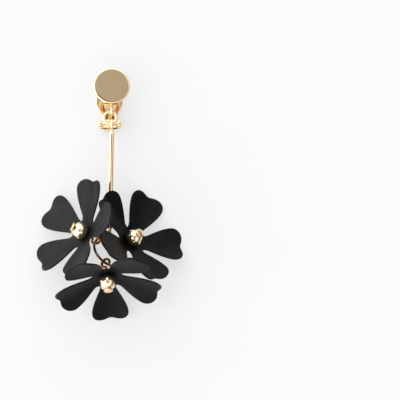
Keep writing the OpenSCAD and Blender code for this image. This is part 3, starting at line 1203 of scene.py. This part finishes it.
@dataclass
class Clip:
    """The disc with its leg, hinge, eye and spring paddle.

    Places are taken from the middle of the disc: y along the clip, z over the floor.

    Attributes:
        hinge: middle of the hinge pin.
        disc, disc_height: radius and height of the disc.
        disc_edge: rounding of the disc's edge, as a share of its height.
        disc_turn: degrees of the rounding of its upper edge.
        crown, crown_step: slopes in degrees of the steps towards that edge, and their width.
        solder: depth to which the leg goes into the disc.
        room: gap between the knuckle and the leg.
        leg, leg_top, leg_waist: thickness of the leg and its widths.
        leg_start: where the leg starts under the disc.
        leg_bow: places down the leg, as a share of the disc's radius and a drop in millimetres.
        tongue, bridge: width of the leg's tongue, and the edges of the bridge to the cheeks.
        eye, eye_wire, eye_neck, eye_depth: radius, wire, neck and depth of the eye.
        cheek, cheek_width, cheek_sheet: radius of the cheeks, width over both, and their sheet.
        knuckle, pin, play: radius of the knuckle and of the pin, and the play between them.
        paddle, pad, neck, bow: thickness, pad's radius, neck's width and bow's radius of the paddle.
        finish: the plating.
    """

    hinge: Vector
    disc: float = 4.6 * MM
    disc_height: float = 0.9 * MM
    disc_edge: float = 0.36
    disc_turn: float = 78.0
    crown: tuple[float, ...] = (0.3, 0.8, 1.6, 3.0, 5.2, 6.6, 7.6, 8.8, 10.0)
    crown_step: float = 0.07 * MM
    solder: float = 0.15 * MM
    room: float = 0.15 * MM
    leg: float = 0.75 * MM
    leg_top: float = 3.6 * MM
    leg_start: float = 1.6 * MM
    leg_bow: tuple[tuple[float, float], ...] = (
        (-0.75, 0.0), (-0.86, 0.12), (-0.93, 0.4), (-1.06, 1.45), (-1.23, 2.6))
    leg_waist: float = 2.0 * MM
    tongue: float = 2.4 * MM
    bridge: tuple[float, float] = (-0.75 * MM, -1.1 * MM)
    eye: float = 1.02 * MM
    eye_wire: float = 0.3 * MM
    eye_neck: float = 0.35 * MM
    eye_depth: float = 2.0 * MM
    cheek: float = 1.15 * MM
    cheek_width: float = 5.4 * MM
    cheek_sheet: float = 0.6 * MM
    knuckle: float = 0.85 * MM
    pin: float = 0.4 * MM
    play: float = 0.05 * MM
    paddle: float = 0.7 * MM
    pad: float = 3.4 * MM
    neck: float = 3.6 * MM
    bow: float = 11.0 * MM
    finish: Finish = field(default_factory=GoldPlate)

    def __post_init__(self) -> None:
        """Reads the disc's middle from the frame."""
        low, high = (Vector(corner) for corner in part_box("clip_frame"))
        self.middle = Vector(((low.x + high.x) / 2, high.y - self.disc, 0.0))
        self.top = high.z
        self.reach = self.middle.y - self.hinge.y
        self.back = Vector((self.hinge.x, self.middle.y, 0.0))
        self.leg_low = self.cheek + self.knuckle + self.room + self.leg / 2

    def leg_path(self) -> Profile:
        """Lays out the leg, from under the disc round the hinge.

        Returns:
            The places along it.
        """
        high = self.top - self.disc_height - self.leg / 2 + self.solder
        bend = self.leg_low - self.cheek
        foot = ((self.cheek, 0.47 * self.leg), (0.54 * self.cheek, 0.08 * self.leg))
        curl = rounding(-self.reach, self.cheek, bend, 90, 210, 9)
        bow = [(share * self.disc, high - drop * MM) for share, drop in self.leg_bow]
        path = [(self.leg_start, high), *bow,
                *[(y - self.reach, z + self.leg_low) for y, z in foot], *curl]
        return along_path(path, 0.28 * MM)

    def leg_sheet(self) -> bpy.types.Object:
        """Bends the leg, which narrows to a waist, widens over the hinge and ends in a tongue.

        Returns:
            The leg.
        """
        outline = [
            (self.leg_top / 2, self.leg_start), (self.leg_top / 2, -0.93 * self.disc),
            (self.leg_waist / 2, -1.3 * self.disc), (self.leg_waist / 2, 2.4 * MM - self.reach),
            (self.tongue / 2, self.cheek - self.reach), (self.tongue / 2, self.bridge[0] - self.reach),
            (self.cheek_width / 2, self.bridge[0] - self.reach - 0.05 * MM),
            (self.cheek_width / 2, self.bridge[1] - self.reach + 0.05 * MM),
            (self.tongue / 2, self.bridge[1] - self.reach), (self.tongue / 2, -4 * self.cheek - self.reach)]
        return put(bent_strip("leg", self.leg_path(), lambda y: width_at(outline, y), self.leg, 0.19 * MM),
                   Matrix.Translation(self.back))

    def cheek_plate(self, side: int) -> bpy.types.Object:
        """Turns one cheek of the hinge, drilled for the pin, and draws it up to the leg.

        Args:
            side: -1 for the left cheek and 1 for the right one.

        Returns:
            The cheek.
        """
        hole = self.pin + self.play
        half = self.cheek_sheet / 2
        edge = 0.12 * MM
        profile = [
            (hole, -half), *rounding(self.cheek - edge, edge - half, edge, -90, 0, 3),
            *rounding(self.cheek - edge, half - edge, edge, 0, 90, 3), (hole, half)]
        cheek = turned("cheek", profile, 48, bored=True)
        bpy.ops.object.mode_set(mode="EDIT")
        choose(cheek, lambda place: place.x < -0.01 * MM and place.xy.length > 0.5 * (hole + self.cheek))
        bpy.ops.transform.translate(value=(2 * self.cheek - self.leg_low - self.leg / 2, 0.0, 0.0))
        bpy.ops.object.mode_set(mode="OBJECT")
        offset = Vector((side * (self.cheek_width - self.cheek_sheet) / 2, 0.0, 0.0))
        place = Matrix.Translation(self.hinge + offset) @ Matrix.Rotation(math.radians(90), 4, "Y")
        return put(cheek, place)

    def frame(self) -> bpy.types.Object:
        """Solders the disc, the leg, the cheeks and the eye into one piece.

        Returns:
            The frame.
        """
        edge = self.disc_height * self.disc_edge
        floor = self.top - self.disc_height
        turn = math.radians(self.disc_turn)
        crown = []
        radius = self.disc - edge * (1 - math.cos(turn)) - len(self.crown) * self.crown_step
        height = self.top
        for slope in self.crown:
            crown.append((radius, height))
            radius += self.crown_step
            height -= self.crown_step * math.tan(math.radians(slope))
        middle = (radius - edge * math.cos(turn), height - edge * math.sin(turn))
        profile = [
            (0.5 * self.disc, floor), (self.disc - 1.6 * edge, floor),
            *rounding(middle[0], floor + edge, edge, -80, 0, 5),
            *rounding(*middle, edge, 0, self.disc_turn, 8),
            *reversed(crown),
            (0.6 * self.disc, self.top)]
        disc = turned("disc", profile, 128)
        bpy.ops.object.mode_set(mode="EDIT")
        drop = self.disc + self.eye + self.eye_wire + self.eye_neck
        depth = self.top - self.eye_depth
        add_ring(self.eye, self.eye_wire, Vector((0.0, -drop, depth)), (0.0, math.radians(90), 0.0))
        bpy.ops.object.mode_set(mode="OBJECT")
        put(disc, Matrix.Translation(self.middle))
        return joined("clip_frame_soldered",
                      (disc, self.leg_sheet(), self.cheek_plate(-1), self.cheek_plate(1)))

    def rivet(self) -> bpy.types.Object:
        """Turns the hinge pin with a domed head on each end.

        Returns:
            The hinge pin.
        """
        half = self.cheek_width / 2 + 0.08 * MM
        head = 1.6 * self.pin
        dome = [(head * math.cos(a), half + 0.5 * self.pin * math.sin(a))
                for a in (math.radians(angle) for angle in (0, 20, 40, 60, 78))]
        near = [(self.pin, 0.0), (self.pin, half - 0.02 * MM), *dome]
        far = [(radius, -height) for radius, height in reversed(near[1:])]
        pin = turned("hinge_rivet", [*far, *near], 32)
        return put(pin, Matrix.Translation(self.hinge) @ Matrix.Rotation(math.radians(90), 4, "Y"))

    def paddle_path(self) -> Profile:
        """Lays out the paddle, from the knuckle to the tip of the pad.

        Returns:
            The places along it.
        """
        foot = ((0.23 * self.cheek, 0.73 * self.cheek), (1.08 * self.cheek, self.paddle),
                (2 * self.cheek, 0.56 * self.paddle))
        start = -self.disc
        end = math.asin((0.985 * self.pad - start) / self.bow)
        steps = 22
        arc = [(start + self.bow * math.sin(end * i / steps),
                self.paddle / 2 + self.bow * (1 - math.cos(end * i / steps))) for i in range(steps + 1)]
        return along_path([*((y - self.reach, z) for y, z in foot), *arc], 0.4 * MM)

    def paddle_sheet(self) -> bpy.types.Object:
        """Bends the paddle with its round pad and adds the drilled knuckle.

        Returns:
            The paddle.
        """
        outline = [
            (self.pad, 0.0), (0.97 * self.pad, -0.72 * self.disc), (0.62 * self.neck, -1.24 * self.disc),
            (self.neck / 2, 2 * MM - self.reach), (self.neck / 2, -self.reach)]

        def half_width(y: float) -> float:
            """Round for the pad's tip, and from the outline below it."""
            return math.sqrt(self.pad ** 2 - y ** 2) if y > 0 else width_at(outline, y)

        sheet = put(bent_strip("paddle_sheet", self.paddle_path(), half_width, self.paddle, 0.16 * MM),
                    Matrix.Translation(self.back))
        half = self.neck / 2
        hole = self.pin + self.play
        edge = 0.1 * MM
        barrel = [
            (hole, -half), *rounding(self.knuckle - edge, edge - half, edge, -90, 0, 3),
            *rounding(self.knuckle - edge, half - edge, edge, 0, 90, 3), (hole, half)]
        knuckle = turned("knuckle", barrel, 40, bored=True)
        put(knuckle, Matrix.Translation(self.hinge) @ Matrix.Rotation(math.radians(90), 4, "Y"))
        return joined("paddle_bowed", (sheet, knuckle))

    def build(self) -> None:
        """Shapes and dresses the frame, the paddle and the pin between them."""
        settle(self.frame(), self.finish, Slot.GOLD, Body.EARRING, ("clip_frame",))
        settle(self.paddle_sheet(), self.finish, Slot.GOLD, Body.PADDLE, ("paddle",))
        settle(self.rivet(), self.finish, Slot.GOLD, Body.EARRING, ("hinge_pin",))


# Stage


@dataclass(frozen=True)
class Studio:
    """Camera at the photograph's angle, a pale table and a soft light tent.

    Attributes:
        eye: the camera's place in millimetres.
        right: direction to the right in the picture.
        up: direction up in the picture, about.
        lens: focal length in millimetres.
        table: width of the table.
        tent: brightness of the tent by the height of a direction, from level to upright.
        bright_side: direction of the tent's bright side.
        side_share: how much brighter that side is.
        side_top: height from which the side's share would turn round.
        dim_share: least brightness of the far side.
        opening: direction of a dark opening in the tent.
        opening_edge: nearness at which the opening starts and is darkest.
        opening_dim: brightness of its darkest part.
    """

    eye: tuple[float, float, float] = (-17.637, -93.629, 600.5)
    right: tuple[float, float, float] = (0.9978, -0.0102, 0.0659)
    up: tuple[float, float, float] = (0.0, 0.9883, 0.1527)
    lens: float = 216.0
    table: float = 3.0
    tent: tuple[tuple[float, float], ...] = (
        (0.0, 1.5), (0.35, 1.6), (0.58, 1.9), (0.84, 2.4), (0.87, 2.2),
        (0.882, 0.8), (0.93, 0.7), (0.945, 0.5), (1.0, 0.48))
    bright_side: tuple[float, float, float] = (-0.98, 0.2, 0.0)
    side_share: float = 0.8
    side_top: float = 1.6
    dim_share: float = 0.08
    opening: tuple[float, float, float] = (-0.154, -0.03, 0.988)
    opening_edge: tuple[float, float] = (0.9877, 0.9945)
    opening_dim: float = 0.3

    def camera(self) -> None:
        """Sets the camera in the photograph's place."""
        right = Vector(self.right).normalized()
        up = (Vector(self.up) - right * right.dot(Vector(self.up))).normalized()
        turn = Matrix((right, up, right.cross(up))).transposed().to_4x4()
        data = bpy.data.cameras.new("camera")
        data.lens = self.lens
        data.clip_start, data.clip_end = 0.01, 20.0
        camera = bpy.data.objects.new("camera", data)
        camera.matrix_world = Matrix.Translation(Vector(self.eye) * MM) @ turn
        bpy.context.scene.collection.objects.link(camera)
        bpy.context.scene.camera = camera

    def floor(self) -> None:
        """Lays the pale table under the earring."""
        deselect()
        bpy.ops.mesh.primitive_plane_add(size=self.table, location=(0.0, 0.0, 0.0))
        floor = bpy.context.active_object
        floor.name = "table"
        floor.data.materials.append(PaleTable().material())
        deselect()

    def towards(self, shader: Shader, place: bpy.types.Node, way: Vector) -> bpy.types.NodeSocket:
        """Adds how far a direction points along a way, from -1 to 1.

        Args:
            shader: the tent's node tree.
            place: node with the direction.
            way: the way.

        Returns:
            The value socket.
        """
        dot = shader.add("ShaderNodeVectorMath", operation="DOT_PRODUCT")
        dot.inputs[1].default_value = way
        shader.join(place.outputs["Generated"], dot.inputs[0])
        return dot.outputs["Value"]

    def light(self) -> None:
        """Fills the world with a white tent: a bright side, a dim top and a dark opening."""
        world = bpy.data.worlds.new("tent")
        bpy.context.scene.world = world
        world.use_nodes = True
        world.node_tree.nodes.clear()
        shader = Shader(world.node_tree)
        place = shader.add("ShaderNodeTexCoord")
        split = shader.add("ShaderNodeSeparateXYZ")
        ramp = shader.add("ShaderNodeValToRGB")
        glow = shader.add("ShaderNodeBackground", strength=1.0)
        end = shader.add("ShaderNodeOutputWorld")
        ramp.color_ramp.elements.remove(ramp.color_ramp.elements[1])
        for index, (at, value) in enumerate(self.tent):
            stop = ramp.color_ramp.elements[0] if index == 0 else ramp.color_ramp.elements.new(at)
            stop.position = at
            stop.color = (value, value, value, 1.0)
        shader.join(place.outputs["Generated"], split.inputs[0])
        shader.join(split.outputs["Z"], ramp.inputs[0])
        shader.join(ramp.outputs[0], glow.inputs["Color"])
        lowness = shader.math("SUBTRACT", self.side_top, split.outputs["Z"])
        side = shader.math("MULTIPLY", self.towards(shader, place, Vector(self.bright_side)), lowness)
        uneven = shader.math("ADD", shader.math("MULTIPLY", side, self.side_share), 1.0)
        sides = shader.math("MAXIMUM", uneven, self.dim_share)
        spot = shader.add("ShaderNodeMapRange")
        span = (*self.opening_edge, 1.0, self.opening_dim)
        for name, value in zip(("From Min", "From Max", "To Min", "To Max"), span):
            spot.inputs[name].default_value = value
        shader.join(self.towards(shader, place, Vector(self.opening).normalized()), spot.inputs["Value"])
        shader.join(shader.math("MULTIPLY", sides, spot.outputs[0]), glow.inputs["Strength"])
        shader.join(glow.outputs[0], end.inputs["Surface"])

    def build(self) -> None:
        """Sets the camera, the table and the light."""
        self.camera()
        self.floor()
        self.light()
        bpy.context.scene.view_settings.view_transform = "Standard"


def small_ring() -> JumpRing:
    """Measures the small ring under the clip from its box.

    Returns:
        The small ring.
    """
    low, high = (Vector(corner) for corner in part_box("clip_ring"))
    wire = (high.z - low.z) / 2
    return JumpRing("clip_ring", (high.x - low.x) / 2 - wire, wire, Matrix.Translation((low + high) / 2))


def large_ring() -> JumpRing:
    """Lays the large ring through the loops behind the flowers.

    Returns:
        The large ring.
    """
    middle, axis, radius = ring_circle()
    place = axes_at(middle, Vector((1, 0, 0)), axis)
    # The ring's plating is darkened to brown as painted shade.
    return JumpRing("cluster_ring", radius, 0.33 * MM, place, finish=RING_SHADE_GOLD)


def main() -> None:
    """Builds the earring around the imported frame."""
    logging.basicConfig(level=logging.INFO, format="%(message)s")
    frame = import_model()
    nodes = frame["nodes"]
    deselect()
    Studio().build()
    Clip(Vector(frame["joints"][0]["pos_m"])).build()
    small_ring().build()
    Bar().build()
    large_ring().build()
    for flower in Flower:
        # Each flower gets its own lit or shaded copy of the black paint, as painted light and shade.
        PetalSheet(flower, LIT_AND_SHADED_COATS[flower]).build(nodes)
        Ball(flower).build()
        HeadPin(flower).build()


if __name__ == "__main__":
    main()
